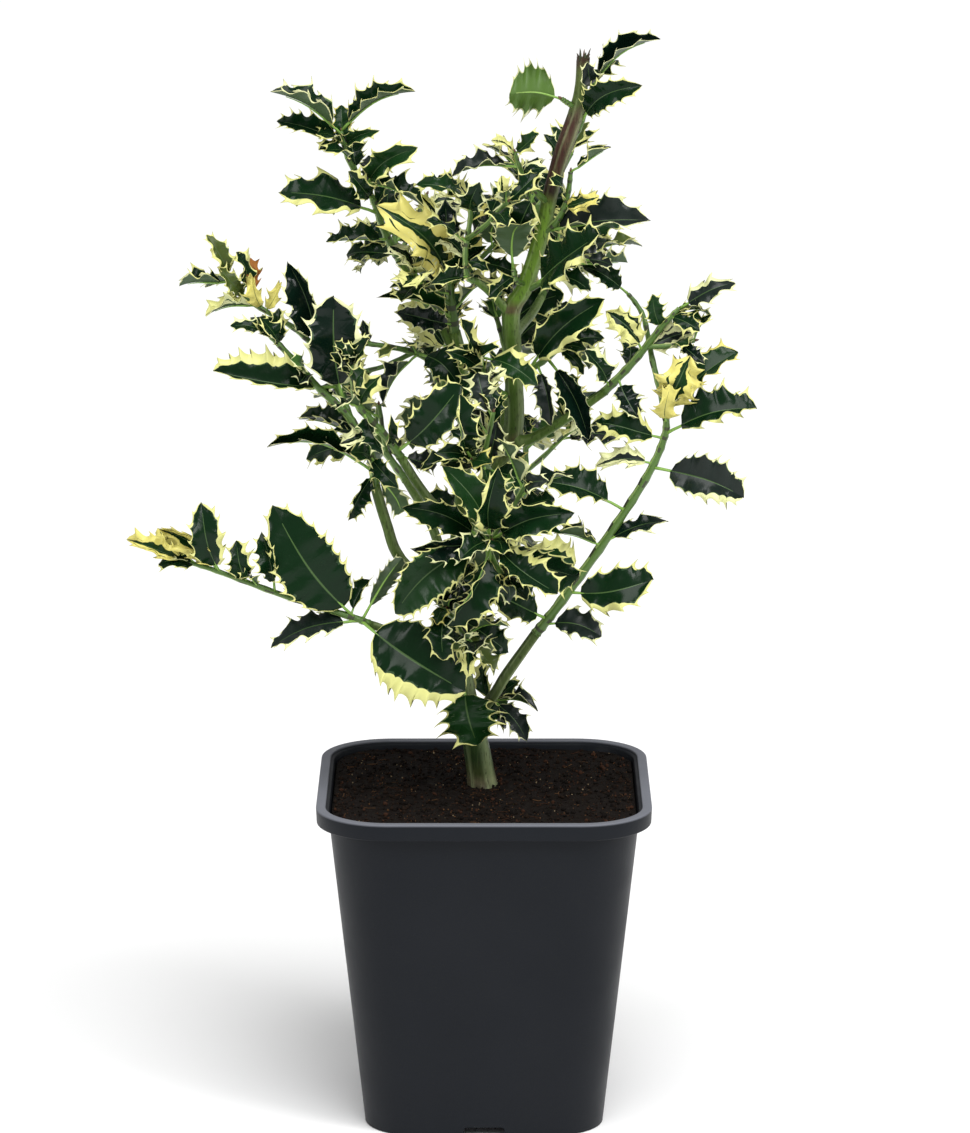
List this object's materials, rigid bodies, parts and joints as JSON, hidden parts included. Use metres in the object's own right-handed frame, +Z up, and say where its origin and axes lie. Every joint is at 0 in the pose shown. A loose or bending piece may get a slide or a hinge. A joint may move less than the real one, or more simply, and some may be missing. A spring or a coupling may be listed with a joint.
{
  "type": "potted holly tree",
  "caption": "Young variegated holly tree with cream-edged spiny leaves, in a black square nursery pot full of dark compost.",
  "frame": {"origin": "middle of the pot's flat underside, where it stands on the floor", "axes": "+Z up; +X to the plant's right and -Y towards its front, square to the pot's sides"},
  "size_m": [0.4077, 0.2835, 0.719],
  "materials": {
    "pot": "satin black moulded plastic",
    "compost": "rough dark compost",
    "bark": "smooth olive green bark, corky and grey at the foot",
    "shoot": "smooth green young wood",
    "foliage": "glossy dark green leaves with cream edges"
  },
  "bodies": {
    "root": {"pot": "pot", "soil": "compost", "trunk": "bark", "bough_centre": "shoot", "bough_upper_left": "shoot", "bough_left": "shoot", "bough_left_inner": "shoot", "bough_lower_left": "shoot", "bough_lower_right": "shoot", "bough_right": "shoot", "bough_short": "shoot", "bough_front": "shoot", "bough_back_low": "shoot", "bough_back_left": "shoot", "bough_back_right": "shoot", "bough_back_centre": "shoot", "bough_back_upper": "shoot", "leaves_lower_left": "foliage", "leaves_left": "foliage", "leaves_left_inner": "foliage", "leaves_upper_left": "foliage", "leaves_centre": "foliage", "leaves_short": "foliage", "leaves_cross": "foliage", "leaves_lower_right": "foliage", "leaves_right": "foliage", "leaves_rosette": "foliage", "leaves_middle": "foliage", "leaves_low_middle": "foliage", "leaves_foot_left": "foliage", "leaves_foot_right": "foliage", "leaves_leader_low_left": "foliage", "leaves_leader_low_right": "foliage", "leaves_leader_right": "foliage", "leaves_leader_left": "foliage", "leaves_high_right": "foliage", "leaves_high_left": "foliage", "leaves_top_left": "foliage", "leaves_top_right": "foliage", "leaves_back_low": "foliage", "leaves_back_left": "foliage", "leaves_back_right": "foliage", "leaves_back_centre": "foliage", "leaves_back_upper": "foliage", "leaves_back_mid_left": "foliage", "leaves_back_high_left": "foliage", "leaves_back_top": "foliage", "leaves_back_inner_low": "foliage", "leaves_back_inner": "foliage", "leaves_back_inner_high": "foliage"}
  },
  "joints": []
}
